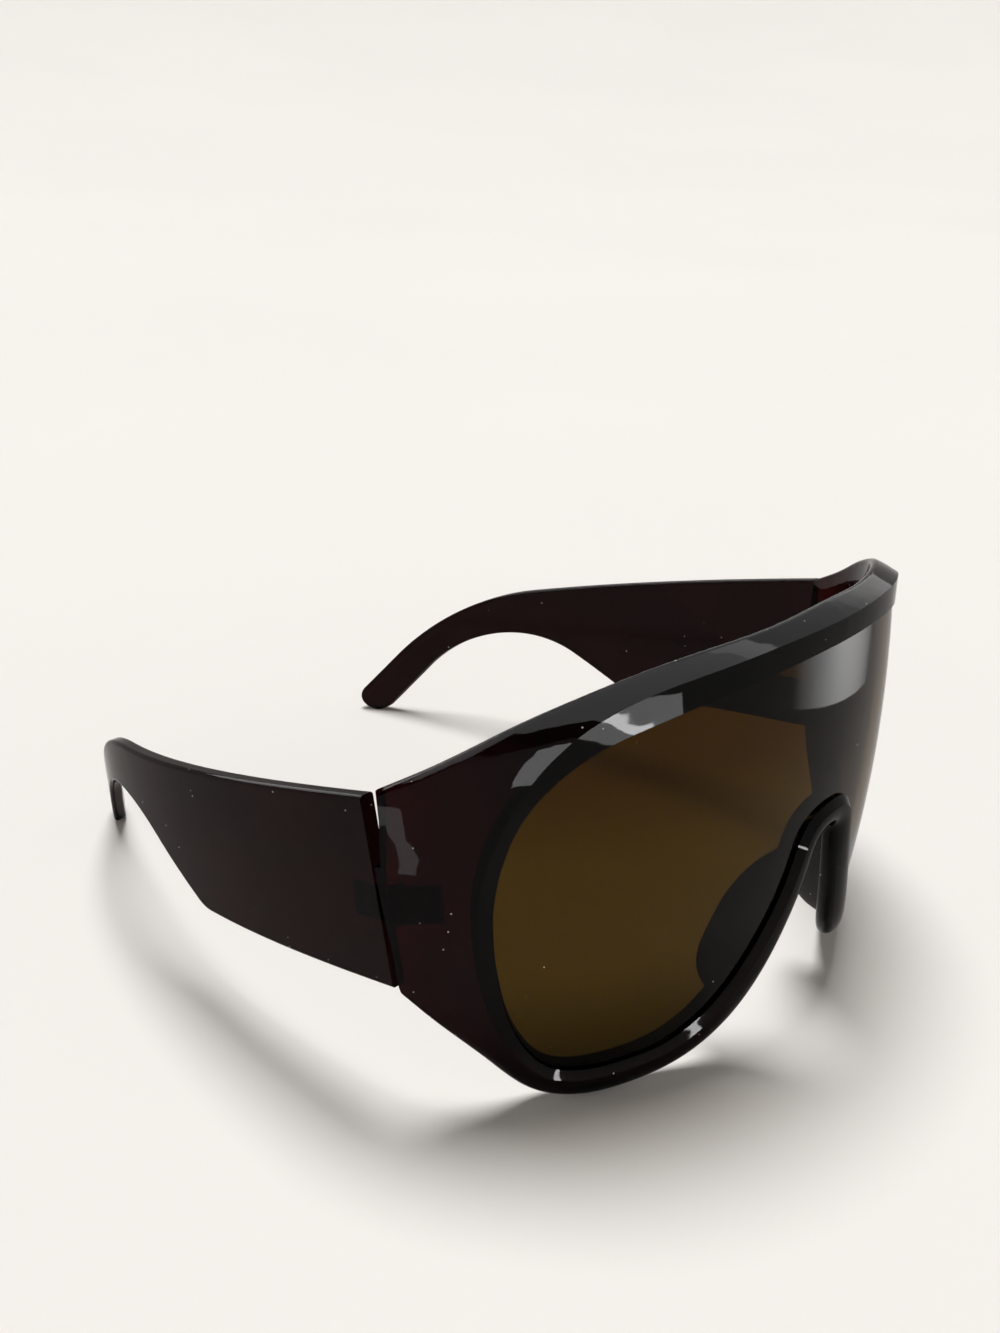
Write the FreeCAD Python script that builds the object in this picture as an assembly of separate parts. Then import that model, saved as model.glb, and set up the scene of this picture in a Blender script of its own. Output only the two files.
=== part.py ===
"""Shield sunglasses: a wrapped full-rim front, a one-piece lens and two wide folding temples."""
import FreeCAD, Part
import math
import os

Vec = FreeCAD.Vector
Turn = FreeCAD.Rotation

# Base surface that lens and rim follow: a barrel, curved across and from top to bottom (mm, degrees)
wrap_radius = 85.7
crown_radius = 275.0
crown_height = 42.0
front_depth = 40.6
front_tilt = 3.6

# Lens
lens_bottom = 5.2
lens_height = 72.4
lens_thickness = 2.0
groove_depth = 1.3
groove_clearance = 0.05

# Brow: width out from the lens, bevel run, height of its ridge, depth of the top face, edge radius, back
brow_width = 5.7
brow_bevel = 4.1
brow_ridge = 0.7
brow_depth = 3.4
brow_edge_radius = 1.5
brow_back = 5.2
brow_edge_angles = (12.0, -100.0)

# Shoulder of the brow above the outer corner of the lens
shoulder_width = 7.9
shoulder_bevel = 5.2
shoulder_ridge = 0.9
shoulder_depth = 3.2
shoulder_edge_radius = 1.2
shoulder_back = 5.0
shoulder_edge_angles = (20.0, -98.0)

# Endpiece between lens and joint, drawn longer than it is and cut off at the joint
endpiece_length = 18.3
endpiece_stock = 16.7
endpiece_bevel = 2.6
endpiece_ridge = 1.8
endpiece_depth = 1.3
endpiece_edge_radius = 1.4
endpiece_back = 3.8
endpiece_edge_angles = (90.0, -90.0)

# Round bead below the lens and over the nose
lobe_width = 6.6
nose_width = 6.8
bead_bevel = 1.6
bead_ridge = 1.6
bead_depth = 0.8
bead_edge_radius = 2.0
bead_back = 3.3
bead_edge_angles = (58.0, -90.0)
lip_height = 0.5

# Nose pads, moulded with the front
pad_run = 12.6
pad_rise = 25.3
pad_splay = 4.6
pad_drop = 2.6
pad_depth = 10.0
pad_length = 32.0
pad_thickness = 3.8
pad_lean = 28.0

# Joint between front and temples
joint_gap = 0.35
joint_lean = 6.5
relief_start = 4.9
relief_setback = 0.1
relief_depth = 1.7
overrun = 60.0

# Temples, measured back from the hinge axis and up from the drawing's base line
temple_top = 62.1
temple_bottom = 26.5
temple_top_fall = 12.8
temple_bottom_fall = 6.0
temple_corner_run = 49.0
temple_ramp = 26.5
tip_run = 114.5
tip_height = 11.5
hook_fall = 53.5
hook_width = 7.6
hook_radius = 55.0
ear_radius = 30.0
corner_radius = 7.0
bow_spare = 2.9
bow_out = 2.2
bow_mid = 0.4
tip_half_span = 38.8
temple_thickness = 2.9
tip_thickness = 3.3
temple_lean = 3.8
temple_edge_radius = 0.7

# Hinge
hinge_height = 41.2
pivot_inset = 0.8
barrel_radius = 1.5
barrel_clearance = 0.35
knuckle_height = 2.0
knuckle_clearance = 0.08
leaf_length = 5.9
leaf_thickness = 1.2
leaf_setback = 0.25
leaf_clearance = 0.05
screw_radius = 0.7
screw_clearance = 0.03
head_radius = 1.15
head_height = 0.6
slot_width = 0.35
slot_depth = 0.3

# Where the base surface reaches the joint, and what lens and hinge take from it
wall_angle = math.degrees(math.acos(1 - front_depth / wrap_radius))
joint_half_span = wrap_radius * math.sin(math.radians(wall_angle))
joint_run = wrap_radius * math.radians(wall_angle)
lens_half_run = joint_run - endpiece_length
endpiece_width = endpiece_length + endpiece_stock
pivot_half_span = joint_half_span - temple_thickness - pivot_inset
leaf_start = barrel_radius + barrel_clearance + leaf_setback
stack_half = 1.5 * knuckle_height + knuckle_clearance
centre_half = knuckle_height / 2
knuckle_start = centre_half + knuckle_clearance
front_levels = ((-stack_half, -knuckle_start), (knuckle_start, stack_half))
temple_levels = ((-centre_half, centre_half),)
front_wall = 180 + wall_angle
temple_wall = 90

# Rim profiles in the order of the sizes above; the bead serves the lobe and the nose
brow = (brow_width, brow_bevel, brow_ridge, brow_depth, brow_edge_radius, brow_back, *brow_edge_angles)
shoulder = (shoulder_width, shoulder_bevel, shoulder_ridge, shoulder_depth, shoulder_edge_radius,
            shoulder_back, *shoulder_edge_angles)
endpiece = (endpiece_width, endpiece_bevel, endpiece_ridge, endpiece_depth, endpiece_edge_radius,
            endpiece_back, *endpiece_edge_angles)
bead = (bead_bevel, bead_ridge, bead_depth, bead_edge_radius, bead_back, *bead_edge_angles)
profiles = (brow, shoulder, endpiece, (lobe_width, *bead), (nose_width, *bead))
face_crown_share = 0.5

# Stations round the right half of the lens, brow centre to nose centre: shares of the lens run and
# height, outward direction, share of the rim width, and the profile as a place in the list above
station_shares = (
    (0.000, 1.000, 90.0, 1.00, 0.0),
    (0.247, 0.989, 90.0, 0.87, 0.3),
    (0.465, 0.958, 80.0, 0.89, 0.7),
    (0.640, 0.918, 72.0, 0.90, 1.0),
    (0.763, 0.874, 51.0, 0.62, 1.2),
    (0.850, 0.820, 32.3, 0.53, 1.5),
    (0.916, 0.754, 16.7, 0.57, 1.8),
    (0.962, 0.677, 6.0, 0.77, 2.0),
    (0.991, 0.577, 1.6, 1.00, 2.0),
    (1.000, 0.475, -1.0, 1.00, 2.0),
    (0.988, 0.356, 2.6, 0.94, 2.0),
    (0.965, 0.246, 11.9, 0.79, 2.1),
    (0.930, 0.146, 10.6, 0.65, 2.4),
    (0.884, 0.072, -8.9, 0.63, 2.8),
    (0.826, 0.021, -56.3, 0.90, 3.0),
    (0.741, 0.000, -85.5, 0.97, 3.0),
    (0.625, 0.006, -102.6, 1.01, 3.0),
    (0.494, 0.033, -115.9, 1.05, 3.0),
    (0.392, 0.088, -121.4, 1.14, 3.1),
    (0.305, 0.174, -130.7, 1.18, 3.4),
    (0.235, 0.276, -154.1, 1.06, 3.7),
    (0.183, 0.373, -165.7, 0.96, 4.0),
    (0.149, 0.468, -155.0, 0.93, 4.0),
    (0.126, 0.527, -143.0, 0.93, 4.0),
    (0.075, 0.568, -120.0, 0.90, 4.0),
    (0.000, 0.580, -90.0, 0.85, 4.0),
)

# Sections of a nose pad from root to free edge: shares of its depth, length, thickness and splay
pad_section_shares = (
    (0.16, 1.00, 1.00, 0.00),
    (0.45, 0.94, 0.88, 0.25),
    (0.72, 0.80, 0.72, 0.55),
    (0.90, 0.60, 0.53, 0.83),
    (1.00, 0.34, 0.28, 1.00),
)

# Roundness of the temple tip, and the step for measuring the finished solids
tip_round_share = 0.96
mesh_step = 0.05

front_place = FreeCAD.Placement(Vec(0, -front_depth, crown_height), Turn(Vec(1, 0, 0), front_tilt))
joint_turn = Turn(Vec(1, 0, 0), -joint_lean)


def across(degrees):
    """Unit step in the flat pattern, or in any plane drawn with two axes."""
    return math.cos(math.radians(degrees)), math.sin(math.radians(degrees))


def wrap(run, rise, proud):
    """Point of the flat pattern laid on the barrel surface, lifted outwards by proud."""
    level = rise - crown_height
    radius = wrap_radius - crown_radius + math.sqrt(crown_radius ** 2 - level ** 2) + proud
    angle = run / wrap_radius
    return Vec(radius * math.sin(angle), wrap_radius - radius * math.cos(angle), level)


def mixed_profile(place):
    """Rim profile between two neighbours in the list of profiles."""
    low = min(int(place), len(profiles) - 2)
    share = place - low
    return [a + share * (b - a) for a, b in zip(profiles[low], profiles[low + 1])]


def station(row, side=1):
    """Lens edge point, outward step, and rim width and profile of one station."""
    run_share, rise_share, direction, width_share, place = row
    step = across(direction)
    edge = (side * run_share * lens_half_run, lens_bottom + rise_share * lens_height)
    width, *profile = mixed_profile(place)
    return edge, (side * step[0], step[1]), width_share * width, profile


def rim_poles(row):
    """Control points of one rim profile, strip by strip: bevel, face, edge, back and lens wall."""
    edge, step, width, profile = station(row)
    bevel, ridge, depth, radius, back, start, end = profile

    def at(out, proud):
        return wrap(edge[0] + out * step[0], edge[1] + out * step[1], proud)

    def on_edge(angle, ahead=0):
        aside, up = across(angle)
        return width - radius + radius * (aside + ahead * up), radius * (up - ahead * aside) - depth

    lip = at(0, lip_height)
    crest = at(bevel, ridge)
    heel = at(0, -back)
    face_end = on_edge(start)
    reach = face_crown_share * math.hypot(face_end[0] - bevel, face_end[1] - ridge) / radius
    crown = at(*on_edge(start, -reach))
    pull = math.tan(math.radians(start - end) / 4) * 4 / 3
    shoulder = at(*face_end)
    foot = at(*on_edge(end))
    rounding = (shoulder, at(*on_edge(start, pull)), at(*on_edge(end, -pull)), foot)
    return (lip, crest), (crest, crown, shoulder), rounding, (foot, heel), (heel, lip)


def skin(rows, marks):
    """Surface drawn through rows of control points, square to the middle plane at both ends."""
    curves = []
    for points in zip(*rows):
        leaving = Vec(points[1].x / (marks[1] - marks[0]), 0, 0)
        arriving = Vec(-points[-2].x / (marks[-1] - marks[-2]), 0, 0)
        curve = Part.BSplineCurve()
        curve.interpolate(Points=list(points), Parameters=marks, InitialTangent=leaving,
                          FinalTangent=arriving, Scale=False)
        curves.append(curve)
    first = curves[0]
    degree = len(curves) - 1
    surface = Part.BSplineSurface()
    poles = [list(line) for line in zip(*(curve.getPoles() for curve in curves))]
    surface.buildFromPolesMultsKnots(poles, first.getMultiplicities(), [degree + 1] * 2, first.getKnots(),
                                     [0, 1], False, False, first.Degree, degree)
    return surface


def half_space(origin, turn, size):
    """Large block whose flat face passes through origin, on the +Y side before it is turned."""
    block = Part.makeBox(2 * size, size, 2 * size, Vec(-size, 0, -size))
    block.Placement = FreeCAD.Placement(origin, turn)
    return block


def rim_blank():
    """Rim skinned round one half, closed in the middle plane and mirrored."""
    sections = [rim_poles(row) for row in station_shares]
    marks = [0]
    for here, there in zip(sections, sections[1:]):
        lens_step = (there[0][0] - here[0][0]).Length
        edge_step = (there[2][0] - here[2][0]).Length
        marks.append(marks[-1] + lens_step + edge_step)
    marks = [mark / marks[-1] for mark in marks]
    strips = [skin(rows, marks) for rows in zip(*sections)]
    faces = [strip.toShape() for strip in strips]
    for mark in (0, 1):
        ends = [strip.uIso(mark).toShape() for strip in strips]
        faces.append(Part.Face(Part.Wire(Part.__sortEdges__(ends))))
    shell = Part.makeShell(faces)
    shell.sewShape()
    half = Part.makeSolid(shell)
    if half.Volume < 0:
        half.reverse()
    return half.fuse(half.mirror(Vec(0, 0, 0), Vec(1, 0, 0)))


def lens_solid(spare):
    """Lens cut from a barrel shell by its own outline, grown by spare for the groove it sits in."""
    reach = lens_height
    sag = crown_radius - math.sqrt(crown_radius ** 2 - reach ** 2)
    front = -spare
    back = lens_thickness + spare
    faces = []
    for depth in (front, back):
        points = Vec(0, depth + sag, -reach), Vec(0, depth, 0), Vec(0, depth + sag, reach)
        faces.append((Part.Arc(*points).toShape(), points))
    ends = [Part.LineSegment(faces[0][1][k], faces[1][1][k]).toShape() for k in (0, 2)]
    profile = Part.Face(Part.Wire(Part.__sortEdges__([faces[0][0], ends[1], faces[1][0], ends[0]])))
    axis = Vec(0, wrap_radius, 0)
    half_sweep = math.degrees((lens_half_run + endpiece_stock) / wrap_radius)
    profile.rotate(axis, Vec(0, 0, 1), -half_sweep)
    shell = profile.revolve(axis, Vec(0, 0, 1), 2 * half_sweep).toNurbs()
    outline = []
    for side, rows in ((1, station_shares), (-1, station_shares[-2:0:-1])):
        for row in rows:
            edge, step = station(row, side)[:2]
            grow = groove_depth + spare
            spot = wrap(edge[0] + grow * step[0], edge[1] + grow * step[1], 0)
            outline.append(Vec(spot.x, -wrap_radius, spot.z))
    curve = Part.BSplineCurve()
    curve.interpolate(outline, PeriodicFlag=True)
    prism = Part.Face(Part.Wire(curve.toShape())).extrude(Vec(0, 2 * wrap_radius, 0))
    return shell.common(prism)


def nose_pad():
    """Wing on the back of the rim beside the nose, thinning towards its free edge."""
    sections = []
    aside, up = across(90 + pad_lean)
    for depth_share, length_share, thickness_share, splay_share in pad_section_shares:
        run = pad_run + splay_share * pad_splay
        rise = pad_rise - splay_share * pad_drop
        proud = -depth_share * pad_depth
        half_length = length_share * pad_length / 2
        half_thickness = thickness_share * pad_thickness / 2
        centre = wrap(run, rise, proud)
        along = wrap(run + half_length * aside, rise + half_length * up, proud)
        beside = wrap(run + half_thickness * up, rise - half_thickness * aside, proud)
        sections.append(Part.Wire(Part.Ellipse(along, beside, centre).toShape()))
    return Part.makeLoft(sections, True, False)


def placed_front(shape):
    """Front piece moved from its own upright frame to its place ahead of the hinges."""
    moved = shape.copy()
    moved.Placement = front_place.multiply(moved.Placement)
    return moved


def mirrored(shape):
    return shape.mirror(Vec(0, 0, 0), Vec(1, 0, 0))


def hinge_point(side_step, along_step, lift):
    """Point near the hinge, stepped sideways, backwards and along the axis."""
    axis_step = joint_turn.multVec(Vec(0, along_step, lift))
    return Vec(pivot_half_span + side_step, axis_step.y, hinge_height + axis_step.z)


def hinge_cylinder(radius, bottom, top):
    """Cylinder on the hinge axis, between two heights measured along the axis."""
    upright = joint_turn.multVec(Vec(0, 0, 1))
    return Part.makeCylinder(radius, top - bottom, hinge_point(0, 0, bottom), upright)


def hinge_block(angle, start, end, inner, outer, bottom, top):
    """Block that lies along a wall leaving the hinge axis at an angle in plan."""
    block = Part.makeBox(end - start, outer - inner, top - bottom, Vec(start, inner, bottom))
    block.rotate(Vec(0, 0, 0), Vec(0, 0, 1), angle)
    block.Placement = FreeCAD.Placement(hinge_point(0, 0, 0), joint_turn).multiply(block.Placement)
    return block


def leaf(angle, sign, levels, spare=0):
    """Hinge leaf: a plate in the wall with its knuckles, each a barrel and an arm."""
    outer = sign * barrel_radius
    inner = sign * (barrel_radius - leaf_thickness)
    low, high = sorted((inner, outer))
    plate_end = leaf_start + leaf_length
    body = hinge_block(angle, leaf_start - spare, plate_end + spare, low - spare, high + spare,
                       -stack_half - spare, stack_half + spare)
    for bottom, top in levels:
        arm = hinge_block(angle, 0, leaf_start + leaf_thickness, low - spare, high + spare,
                          bottom - spare, top + spare)
        barrel = hinge_cylinder(barrel_radius + spare, bottom - spare, top + spare)
        body = body.fuse([arm, barrel])
    return body.removeSplitter()


def bored(shape):
    hole = hinge_cylinder(screw_radius + screw_clearance, -2 * stack_half, 2 * stack_half)
    return shape.cut(hole)


def screw():
    """Slotted hinge screw with its head on the upper knuckle."""
    top = stack_half + head_height
    body = hinge_cylinder(screw_radius, -stack_half, top)
    body = body.fuse(hinge_cylinder(head_radius, stack_half, top)).removeSplitter()
    slot = hinge_block(temple_wall, -head_radius, head_radius, -slot_width / 2, slot_width / 2,
                       top - slot_depth, top + slot_depth)
    return body.cut(slot)


def barrel_room(spare):
    return hinge_cylinder(barrel_radius + barrel_clearance, -stack_half - spare, stack_half + spare)


def head_room():
    top = stack_half + head_height + barrel_clearance
    return hinge_cylinder(head_radius + barrel_clearance, stack_half, top)


def meet(p, p_angle, q, q_angle):
    """Crossing of two lines, each given by a point and a direction in degrees."""
    px, pz = across(p_angle)
    qx, qz = across(q_angle)
    step = ((q[0] - p[0]) * qz - (q[1] - p[1]) * qx) / (px * qz - pz * qx)
    return p[0] + step * px, p[1] + step * pz


def rounded_outline(corners):
    """Closed outline in the side view: straight runs joined by tangent arcs at each corner."""
    edges = []
    spots = []
    count = len(corners)
    for k in range(count):
        (y, z), radius = corners[k]
        corner = Vec(0, y, z)
        before = Vec(0, *corners[k - 1][0])
        after = Vec(0, *corners[(k + 1) % count][0])
        back = (before - corner).normalize()
        ahead = (after - corner).normalize()
        half = back.getAngle(ahead) / 2
        setback = radius / math.tan(half)
        middle = (back + ahead).normalize()
        centre = corner + middle * (radius / math.sin(half))
        spots.append((corner + back * setback, centre - middle * radius, corner + ahead * setback, radius))
    for k in range(count):
        first, bend, last, radius = spots[k]
        if radius > 0:
            edges.append(Part.Arc(first, bend, last).toShape())
        edges.append(Part.LineSegment(last, spots[(k + 1) % count][0]).toShape())
    return Part.Face(Part.Wire(edges))


def temple_side():
    """Side outline of a temple: wide arm, stepped lower edge and ear hook."""
    hook = across(-hook_fall)
    half = hook_width / 2
    outer = (tip_run - half * hook[1], tip_height + half * hook[0])
    inner = (tip_run + half * hook[1], tip_height - half * hook[0])
    end = (tip_run + half * hook[0], tip_height + half * hook[1])
    top_start = (0, temple_top)
    bottom_start = (0, temple_bottom)
    corner = meet(bottom_start, -temple_bottom_fall, (temple_corner_run, 0), 90)
    shoulder = meet(top_start, -temple_top_fall, outer, -hook_fall)
    ear = meet(corner, temple_ramp, inner, -hook_fall)
    tip_outer = meet(outer, -hook_fall, end, 90 - hook_fall)
    tip_inner = meet(inner, -hook_fall, end, 90 - hook_fall)
    front_top = meet(top_start, -temple_top_fall, (-hook_width, 0), 90)
    front_bottom = meet(bottom_start, -temple_bottom_fall, (-hook_width, 0), 90)
    tip_radius = tip_round_share * half
    return rounded_outline((
        (front_top, 0),
        (shoulder, hook_radius),
        (tip_outer, tip_radius),
        (tip_inner, tip_radius),
        (ear, ear_radius),
        (corner, corner_radius),
        (front_bottom, 0),
    ))


def temple_band():
    """Bowed wall of a temple in plan, drawn up along its outward lean."""
    third = (tip_run + hook_width + bow_spare) / 3
    outer_x = (joint_half_span, joint_half_span + bow_out, joint_half_span - bow_mid, tip_half_span)
    walls = (temple_thickness, temple_thickness, temple_thickness, tip_thickness)
    curves = []
    for inset in (0, 1):
        curve = Part.BezierCurve()
        poles = [Vec(outer_x[k] - inset * walls[k], k * third, 0) for k in range(4)]
        first = poles[0] - (poles[1] - poles[0])
        curve.setPoles(poles)
        ahead = Part.LineSegment(first, poles[0])
        curves.append(([ahead.toShape(), curve.toShape()], first, poles[-1]))
    edges = curves[0][0] + curves[1][0]
    edges.append(Part.LineSegment(curves[0][1], curves[1][1]).toShape())
    edges.append(Part.LineSegment(curves[0][2], curves[1][2]).toShape())
    plan = Part.Face(Part.Wire(Part.__sortEdges__(edges)))
    lean = math.tan(math.radians(temple_lean))
    rise = 2 * temple_top
    plan.translate(Vec(-lean * (hinge_height + temple_top / 2), 0, -temple_top / 2))
    return plan.extrude(Vec(lean * rise, 0, rise))


def temple():
    """Left temple: bowed band trimmed to the side outline, edges eased, cut to the joint."""
    reach = 2 * joint_half_span
    prism = temple_side().extrude(Vec(reach, 0, 0))
    blank = temple_band().common(prism)
    behind = [edge for edge in blank.Edges if edge.BoundBox.YMax > joint_gap]
    long_edges = [edge for edge in behind if edge.Length > temple_thickness * 2]
    blank = blank.makeFillet(temple_edge_radius, long_edges)
    facing = joint_turn.multiply(Turn(Vec(0, 0, 1), 180))
    blank = blank.cut(half_space(hinge_point(0, joint_gap / 2, 0), facing, overrun))
    blank = blank.cut(barrel_room(barrel_clearance)).cut(head_room())
    return blank.cut(leaf(temple_wall, -1, temple_levels, leaf_clearance))


def front_frame():
    """Moulded front: skinned rim, nose pads, lens groove, joint faces and hinge pockets."""
    body = rim_blank()
    pad = nose_pad()
    body = body.fuse([pad, mirrored(pad)])
    body = placed_front(body.cut(lens_solid(groove_clearance)))
    behind = half_space(hinge_point(0, -joint_gap / 2, 0), joint_turn, overrun)
    relief_base = hinge_height + stack_half + relief_start
    corner = Vec(joint_half_span - relief_depth, -relief_setback, relief_base)
    relief = Part.makeBox(overrun, overrun, overrun, corner)
    pocket = leaf(front_wall, 1, front_levels, leaf_clearance)
    for tool in (behind, relief, barrel_room(barrel_clearance), head_room(), pocket):
        body = body.cut(tool)
        body = body.cut(mirrored(tool))
    return body


def build():
    left = {
        "temple": temple(),
        "hinge_front_leaf": bored(leaf(front_wall, 1, front_levels)),
        "hinge_temple_leaf": bored(leaf(temple_wall, -1, temple_levels)),
        "hinge_screw": screw(),
    }
    shapes = {"front_frame": front_frame(), "shield_lens": placed_front(lens_solid(0))}
    for name, shape in left.items():
        shapes[name + "_left"] = shape
        shapes[name + "_right"] = mirrored(shape)
    return shapes


def lowest(shape, pitch):
    """Lowest point of a shape pitched about the hinge line."""
    turned = shape.copy()
    turned.rotate(Vec(0, 0, 0), Vec(1, 0, 0), pitch)
    return min(turned.tessellate(mesh_step)[0], key=lambda point: point.z)


def rest_pitch(shapes):
    """Pitch at which the rim's lobes and the temple tips stand on one level."""
    pitch = 0
    for attempt in range(4):
        lobe = lowest(shapes["front_frame"], pitch)
        tip = lowest(shapes["temple_left"], pitch)
        pitch -= math.degrees(math.atan2(tip.z - lobe.z, tip.y - lobe.y))
    return pitch


def export():
    """Stands the part on its lobes and tips, centred over its own base, and writes each piece."""
    os.makedirs("parts", exist_ok=True)
    shapes = build()
    pitch = rest_pitch(shapes)
    stand = FreeCAD.Placement(Vec(0, 0, 0), Turn(Vec(1, 0, 0), pitch))
    box = FreeCAD.BoundBox()
    for shape in shapes.values():
        shape.Placement = stand.multiply(shape.Placement)
        for point in shape.tessellate(mesh_step)[0]:
            box.add(point)
    shift = Vec(0, -box.Center.y, -box.ZMin)
    for name, shape in shapes.items():
        shape.translate(shift)
        shape.exportStep("parts/" + name + ".step")
        print(name, shape.isValid(), len(shape.Solids), round(shape.Volume, 1))
    axis = stand.multVec(hinge_point(0, 0, 0)) + shift
    print("pitch", pitch, "size", box.XLength, box.YLength, box.ZLength)
    print("left hinge at", axis, "along", stand.Rotation.multVec(joint_turn.multVec(Vec(0, 0, 1))))


export()
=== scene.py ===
import math

import bpy
from mathutils import Matrix, Vector


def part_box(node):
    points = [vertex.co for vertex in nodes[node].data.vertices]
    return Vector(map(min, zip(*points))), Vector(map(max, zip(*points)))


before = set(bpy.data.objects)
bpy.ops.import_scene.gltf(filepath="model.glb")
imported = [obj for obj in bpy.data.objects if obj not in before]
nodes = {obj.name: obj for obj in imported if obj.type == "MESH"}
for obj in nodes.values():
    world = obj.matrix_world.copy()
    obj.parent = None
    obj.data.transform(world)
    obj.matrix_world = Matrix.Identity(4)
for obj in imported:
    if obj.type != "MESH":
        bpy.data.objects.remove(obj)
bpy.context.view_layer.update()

# Tints of the see-through pieces: the share of red, green and blue light that passes
TEMPLE_DEEP = (0.0040, 0.0009, 0.0008, 1.0)
TEMPLE_WARM = (0.0085, 0.0018, 0.0015, 1.0)
FRONT_DEEP = (0.0085, 0.0008, 0.0009, 1.0)
FRONT_WARM = (0.024, 0.0022, 0.0024, 1.0)
RIM_DARK = (0.0022, 0.0008, 0.0008, 1.0)
# The lens's low and brow colours are painted shade: darker tints at its lower edge and under the brow, where
# shade falls
LENS_LOW_PAINTED_SHADE = (0.014, 0.0085, 0.0012, 1.0)
LENS_MAIN = (0.049, 0.0265, 0.0022, 1.0)
LENS_BROW_PAINTED_SHADE = (0.032, 0.0135, 0.0004, 1.0)

# Colours of what is not see-through, linear
DUST = (0.55, 0.53, 0.50, 1.0)
STEEL_DARK = (0.34, 0.33, 0.32, 1.0)
STEEL_PALE = (0.58, 0.57, 0.55, 1.0)
FLOOR = (0.88, 0.85, 0.815, 1.0)
FLOOR_SHADE = (0.867, 0.837, 0.803, 1.0)
ROOM = (1.0, 0.985, 0.96, 1.0)
ROOM_STRENGTH = 0.07

# Noise patterns: waves per metre and levels of detail, and how some are stretched along X, Y and Z
CLOUDS = (38.0, 3.0)
SMUDGES = (120.0, 5.0)
WAVES = (110.0, 2.0)
SMEARS = (30.0, 6.0)
SMEAR_STRETCH = (1.0, 1.0, 3.0)
DRAWN_LINES = (900.0, 3.0)
DRAWN_STRETCH = (1.0, 1.0, 0.06)
PAINT = (3.0, 2.0)

# Dust: cells per metre, the shares of a cell where a speck fades and ends, and the share of cells in use
DUST_CELLS = 400.0
SPECK_CORE = 0.04
SPECK_EDGE = 0.075
PLASTIC_DUST = 0.28
LENS_DUST = 0.12

# Gloss: refractive index of the tinted body, and weight and index of the clear coat over it
PLASTIC_INDEX = 1.02
PLASTIC_COAT = (0.20, 1.4)
LENS_INDEX = 1.01
LENS_COAT = (0.35, 1.3)
COAT_ROUGHNESS = 0.03

# Roughness, least and most
PLASTIC_ROUGHNESS = (0.035, 0.085)
LENS_ROUGHNESS = (0.03, 0.08)
STEEL_ROUGHNESS = (0.25, 0.42)
PAINT_ROUGHNESS = 0.9

# Unevenness: how strongly it shows, and its height in metres
FRONT_WAVE = (0.18, 0.0006)
TEMPLE_WAVE = (0.06, 0.0006)
DRAWN_RELIEF = (0.08, 0.0001)

# The front turns from its dark rim to wine between these distances from the middle, in metres
RIM_REACH = 0.056
WINE_REACH = 0.072

# Shares of the lens height: the painted shade at the lower edge ends, the main tint starts, the main tint
# ends, the painted shade under the brow starts
LENS_STOPS = (0.02, 0.30, 0.58, 0.78)


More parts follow.
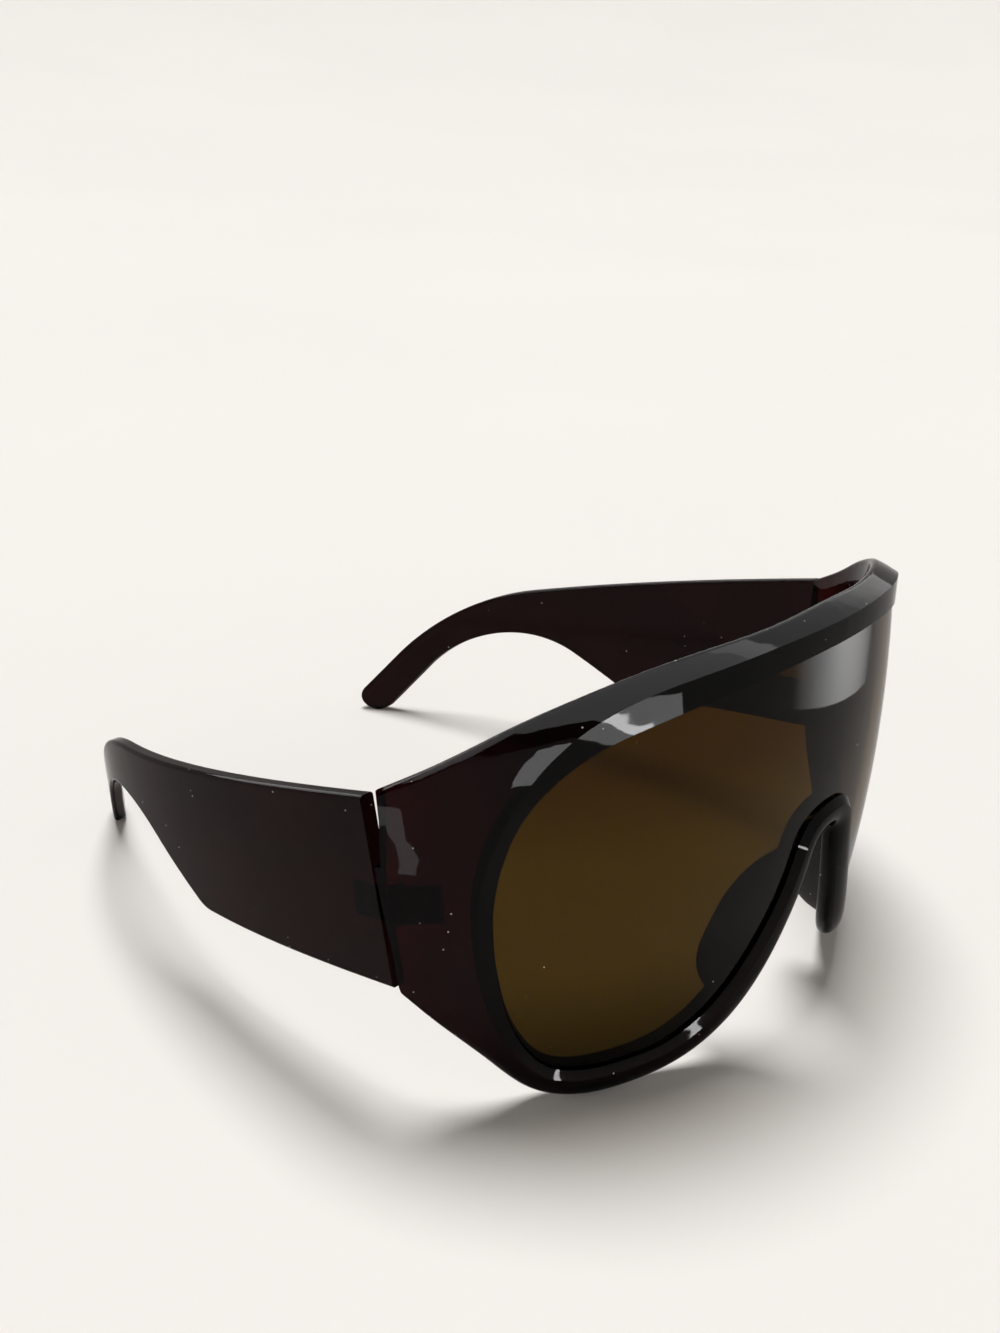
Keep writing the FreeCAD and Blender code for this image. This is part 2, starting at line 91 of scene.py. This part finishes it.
class Surface:
    """Node material with helpers that keep the graphs short."""

    def __init__(self, name):
        self.data = bpy.data.materials.new(name)
        self.data.use_nodes = True
        self.tree = self.data.node_tree
        self.shader = self.tree.nodes["Principled BSDF"]
        self.place = self.node("ShaderNodeTexCoord").outputs["Object"]

    def node(self, kind, **settings):
        made = self.tree.nodes.new(kind)
        for key, value in settings.items():
            setattr(made, key, value)
        return made

    def join(self, source, target):
        self.tree.links.new(source, target)

    def give(self, socket, value):
        """Link a socket to another one, or give it a value."""
        if isinstance(value, bpy.types.NodeSocket):
            self.join(value, socket)
        else:
            socket.default_value = value

    def put(self, name, value):
        self.give(self.shader.inputs[name], value)

    def part(self, axis):
        """One coordinate of the surface: X, Y or Z."""
        made = self.node("ShaderNodeSeparateXYZ")
        self.join(self.place, made.inputs["Vector"])
        return made.outputs[axis]

    def stretched(self, scale):
        mapping = self.node("ShaderNodeMapping")
        mapping.inputs["Scale"].default_value = scale
        self.join(self.place, mapping.inputs["Vector"])
        return mapping.outputs["Vector"]

    def noise(self, pattern, vector=None):
        scale, detail = pattern
        made = self.node("ShaderNodeTexNoise")
        made.inputs["Scale"].default_value = scale
        made.inputs["Detail"].default_value = detail
        self.join(vector or self.place, made.inputs["Vector"])
        return made.outputs["Fac"]

    def calculate(self, operation, first, second=0.0):
        made = self.node("ShaderNodeMath", operation=operation)
        self.give(made.inputs[0], first)
        self.give(made.inputs[1], second)
        return made.outputs["Value"]

    def ramp(self, value, low, high, start=0.35, end=0.65):
        made = self.node("ShaderNodeValToRGB")
        made.color_ramp.elements[0].position = start
        made.color_ramp.elements[0].color = low
        made.color_ramp.elements[1].position = end
        made.color_ramp.elements[1].color = high
        self.join(value, made.inputs["Fac"])
        return made.outputs["Color"]

    def spread(self, value, low, high, start=0.3, end=0.7):
        """Carry a value from the range start to end over to the range low to high."""
        made = self.node("ShaderNodeMapRange")
        for key, number in (("From Min", start), ("From Max", end), ("To Min", low), ("To Max", high)):
            made.inputs[key].default_value = number
        self.join(value, made.inputs["Value"])
        return made.outputs["Result"]

    def mix(self, amount, low, high):
        """Blend two colours: the node's colour inputs are 6 and 7, its colour output is 2."""
        made = self.node("ShaderNodeMix", data_type="RGBA")
        self.join(amount, made.inputs["Factor"])
        self.give(made.inputs[6], low)
        self.give(made.inputs[7], high)
        return made.outputs[2]

    def specks(self, share):
        """Mask of dust specks, each about a third of a millimetre wide, in a share of the cells."""
        cells = self.node("ShaderNodeTexVoronoi")
        cells.inputs["Scale"].default_value = DUST_CELLS
        self.join(self.place, cells.inputs["Vector"])
        channels = self.node("ShaderNodeSeparateColor")
        self.join(cells.outputs["Color"], channels.inputs["Color"])
        chosen = self.calculate("LESS_THAN", channels.outputs["Red"], share)
        speck = self.spread(cells.outputs["Distance"], 1.0, 0.0, SPECK_CORE, SPECK_EDGE)
        return self.calculate("MULTIPLY", speck, chosen)

    def clear_tint(self, colour, share):
        """See-through tint under sparse pale dust, which lets no light through."""
        dust = self.specks(share)
        self.put("Base Color", self.mix(dust, colour, DUST))
        self.put("Transmission Weight", self.spread(dust, 1.0, 0.0, 0.0, 1.0))

    def coat(self, weight, index):
        """Clear gloss over the tint; its share and index keep the edges dark against a pale room."""
        self.put("Coat Weight", weight)
        self.put("Coat IOR", index)
        self.put("Coat Roughness", COAT_ROUGHNESS)

    def bump(self, height, strength, distance):
        made = self.node("ShaderNodeBump")
        made.inputs["Strength"].default_value = strength
        made.inputs["Distance"].default_value = distance
        self.join(height, made.inputs["Height"])
        self.put("Normal", made.outputs["Normal"])
        self.put("Coat Normal", made.outputs["Normal"])


def wine_plastic(name, deep, warm, wave, rim=None):
    """Glossy translucent moulding: cloudy tint, dust, waviness, and a dark rim where one is given."""
    made = Surface(name)
    tint = made.ramp(made.noise(CLOUDS), deep, warm)
    if rim:
        reach = made.calculate("ABSOLUTE", made.part("X"))
        tint = made.mix(made.spread(reach, 0.0, 1.0, RIM_REACH, WINE_REACH), rim, tint)
    made.clear_tint(tint, PLASTIC_DUST)
    made.put("Roughness", made.spread(made.noise(SMUDGES), *PLASTIC_ROUGHNESS))
    made.put("IOR", PLASTIC_INDEX)
    made.coat(*PLASTIC_COAT)
    made.bump(made.noise(WAVES), *wave)
    return made.data


def amber_lens():
    """Brown sun lens with wiped smears, darker towards its lower edge and the brow as painted shade."""
    made = Surface("amber_lens")
    low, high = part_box("shield_lens")
    low_end, main_start, main_end, brow_start = LENS_STOPS
    rise = made.spread(made.part("Z"), 0.0, 1.0, low.z, high.z)
    # Painted shade: the tint darkens towards the lower edge and towards the brow
    tint = made.ramp(rise, LENS_LOW_PAINTED_SHADE, LENS_MAIN, low_end, main_start)
    tint.node.color_ramp.elements.new(main_end).color = LENS_MAIN
    tint.node.color_ramp.elements.new(brow_start).color = LENS_BROW_PAINTED_SHADE
    made.clear_tint(tint, LENS_DUST)
    smear = made.noise(SMEARS, made.stretched(SMEAR_STRETCH))
    made.put("Roughness", made.spread(smear, *LENS_ROUGHNESS))
    made.put("IOR", LENS_INDEX)
    made.coat(*LENS_COAT)
    return made.data


def hinge_steel():
    """Drawn steel with fine lines along the leaf."""
    made = Surface("hinge_steel")
    lines = made.noise(DRAWN_LINES, made.stretched(DRAWN_STRETCH))
    made.put("Base Color", made.ramp(lines, STEEL_DARK, STEEL_PALE))
    made.put("Roughness", made.spread(lines, *STEEL_ROUGHNESS))
    made.put("Metallic", 1.0)
    made.bump(lines, *DRAWN_RELIEF)
    return made.data


def stage_paint():
    """Matt pale paint with a trace of unevenness."""
    made = Surface("stage_paint")
    made.put("Base Color", made.ramp(made.noise(PAINT), FLOOR_SHADE, FLOOR))
    made.put("Roughness", PAINT_ROUGHNESS)
    made.put("Specular IOR Level", 0.0)
    return made.data


def dress(names, surface):
    """Give CAD nodes their finish."""
    for name in names:
        slots = nodes[name].data.materials
        slots.clear()
        slots.append(surface)


def place_in_scene(thing):
    bpy.context.scene.collection.objects.link(thing)


def photo_camera():
    """Camera that sees the object as the photograph does: where it stands, and how it is turned."""
    place = (-0.21512, -0.17288, 0.16959)
    azimuth = math.radians(-51.2976)
    elevation = math.radians(23.5227)
    roll = math.radians(3.3307)
    data = bpy.data.cameras.new("camera")
    data.lens = 38.788
    data.sensor_width = 36.0
    data.clip_start = 0.01
    camera = bpy.data.objects.new("camera", data)
    turn = Matrix.Rotation(azimuth, 4, "Z") @ Matrix.Rotation(math.pi / 2 - elevation, 4, "X")
    turn = turn @ Matrix.Rotation(roll, 4, "Z")
    camera.matrix_world = Matrix.Translation(place) @ turn
    place_in_scene(camera)
    bpy.context.scene.camera = camera


def dish_stage():
    """Round floor that curves up gently on all sides, so that no edge shows behind the object."""
    flat_radius = 0.8
    bend_radius = 8.0
    bend_degrees = 60.0
    steps = 24
    turns = 72
    points = [(0.0, 0.0, 0.0)]
    faces = []
    for step in range(steps + 1):
        angle = math.radians(bend_degrees * step / steps)
        radius = flat_radius + bend_radius * math.sin(angle)
        height = bend_radius * (1.0 - math.cos(angle))
        for turn_index in range(turns):
            heading = math.tau * turn_index / turns
            points.append((radius * math.cos(heading), radius * math.sin(heading), height))
            here = 1 + step * turns + turn_index
            beside = 1 + step * turns + (turn_index + 1) % turns
            if step == 0:
                faces.append((0, here, beside))
            else:
                faces.append((here - turns, here, beside, beside - turns))
    mesh = bpy.data.meshes.new("stage")
    mesh.from_pydata(points, [], faces)
    for face in mesh.polygons:
        face.use_smooth = True
    stage = bpy.data.objects.new("stage", mesh)
    stage.data.materials.append(stage_paint())
    place_in_scene(stage)


def turned_to(direction):
    """Rotation that points a light along a direction."""
    return Vector(direction).to_track_quat("-Z", "Y").to_euler()


def softbox(name, place, aim, size, strength, only=None, spread=None):
    """Soft light seen in the gloss alone, of one node where only names it; a low spread fades its edges."""
    data = bpy.data.lights.new(name, "AREA")
    data.shape = "RECTANGLE"
    data.size, data.size_y = size
    data.energy = strength * math.pi * size[0] * size[1]
    if spread:
        data.spread = math.radians(spread)
        half = math.radians(spread) / 2
        data.energy *= 1.0 - half / math.tan(half)
    light = bpy.data.objects.new(name, data)
    light.location = place
    light.rotation_euler = turned_to(Vector(aim) - Vector(place))
    light.visible_camera = False
    light.visible_diffuse = False
    light.visible_transmission = False
    if only:
        receivers = bpy.data.collections.new(name + "_receivers")
        receivers.objects.link(nodes[only])
        light.light_linking.receiver_collection = receivers
    place_in_scene(light)


def room_softboxes():
    """Large cards round the object, for its gloss from every side."""
    centre = (0.0, -0.02, 0.05)
    softbox("overhead", (-0.1, 0.1, 1.1), centre, size=(1.6, 1.6), strength=5.5)
    softbox("side", (1.1, 0.35, 0.85), centre, size=(1.6, 1.3), strength=2.6)
    softbox("back", (0.15, 1.2, 0.62), centre, size=(1.3, 0.45), strength=7.0)
    softbox("high_front", (0.25, -1.1, 0.95), centre, size=(1.3, 0.45), strength=7.0)


def photo_highlights():
    """Small cards close by, for the highlights that the photograph shows on the front and the lens."""
    near_bevel = (-0.057, -0.056, 0.068)
    top_bevel = (-0.035, -0.066, 0.077)
    near_joint = (-0.0715, -0.0385, 0.055)
    lens_top = (-0.014, -0.075, 0.075)
    softbox(
        "near_front", (-0.1245, -0.1296, 0.078), near_bevel,
        size=(0.034, 0.060), strength=15.0, only="front_frame",
    )
    softbox(
        "front", (-0.053, -0.116, 0.051), top_bevel,
        size=(0.050, 0.012), strength=13.0, only="front_frame",
    )
    softbox(
        "endpiece", (-0.137, -0.062, 0.017), near_joint,
        size=(0.005, 0.013), strength=4.5, only="front_frame",
    )
    softbox(
        "tube", (-0.048, -0.18, 0.025), top_bevel,
        size=(0.075, 0.005), strength=60.0, only="front_frame",
    )
    softbox(
        "window", (0.115, -0.149, 0.046), lens_top,
        size=(0.12, 0.05), strength=11.0, only="shield_lens", spread=40.0,
    )


def ceiling_light():
    """Wide even light from above, which makes the soft shadow and stays out of the gloss."""
    brightness = 0.885
    direction = (-0.12, -0.22, -1.0)
    data = bpy.data.lights.new("ceiling", "SUN")
    data.energy = brightness * math.pi
    data.angle = math.radians(28.0)
    light = bpy.data.objects.new("ceiling", data)
    light.rotation_euler = turned_to(direction)
    light.visible_glossy = False
    place_in_scene(light)


def room_world():
    """Faint fill from all sides."""
    world = bpy.data.worlds.new("studio")
    world.use_nodes = True
    background = world.node_tree.nodes["Background"]
    background.inputs["Color"].default_value = ROOM
    background.inputs["Strength"].default_value = ROOM_STRENGTH
    bpy.context.scene.world = world


hinge_names = [name for name in nodes if name.startswith("hinge_")]
dress(["front_frame"], wine_plastic("front_plastic", FRONT_DEEP, FRONT_WARM, FRONT_WAVE, RIM_DARK))
dress(["temple_left", "temple_right"], wine_plastic("temple_plastic", TEMPLE_DEEP, TEMPLE_WARM, TEMPLE_WAVE))
dress(["shield_lens"], amber_lens())
dress(hinge_names, hinge_steel())
photo_camera()
dish_stage()
room_softboxes()
photo_highlights()
ceiling_light()
room_world()
bpy.context.scene.view_settings.view_transform = "Standard"
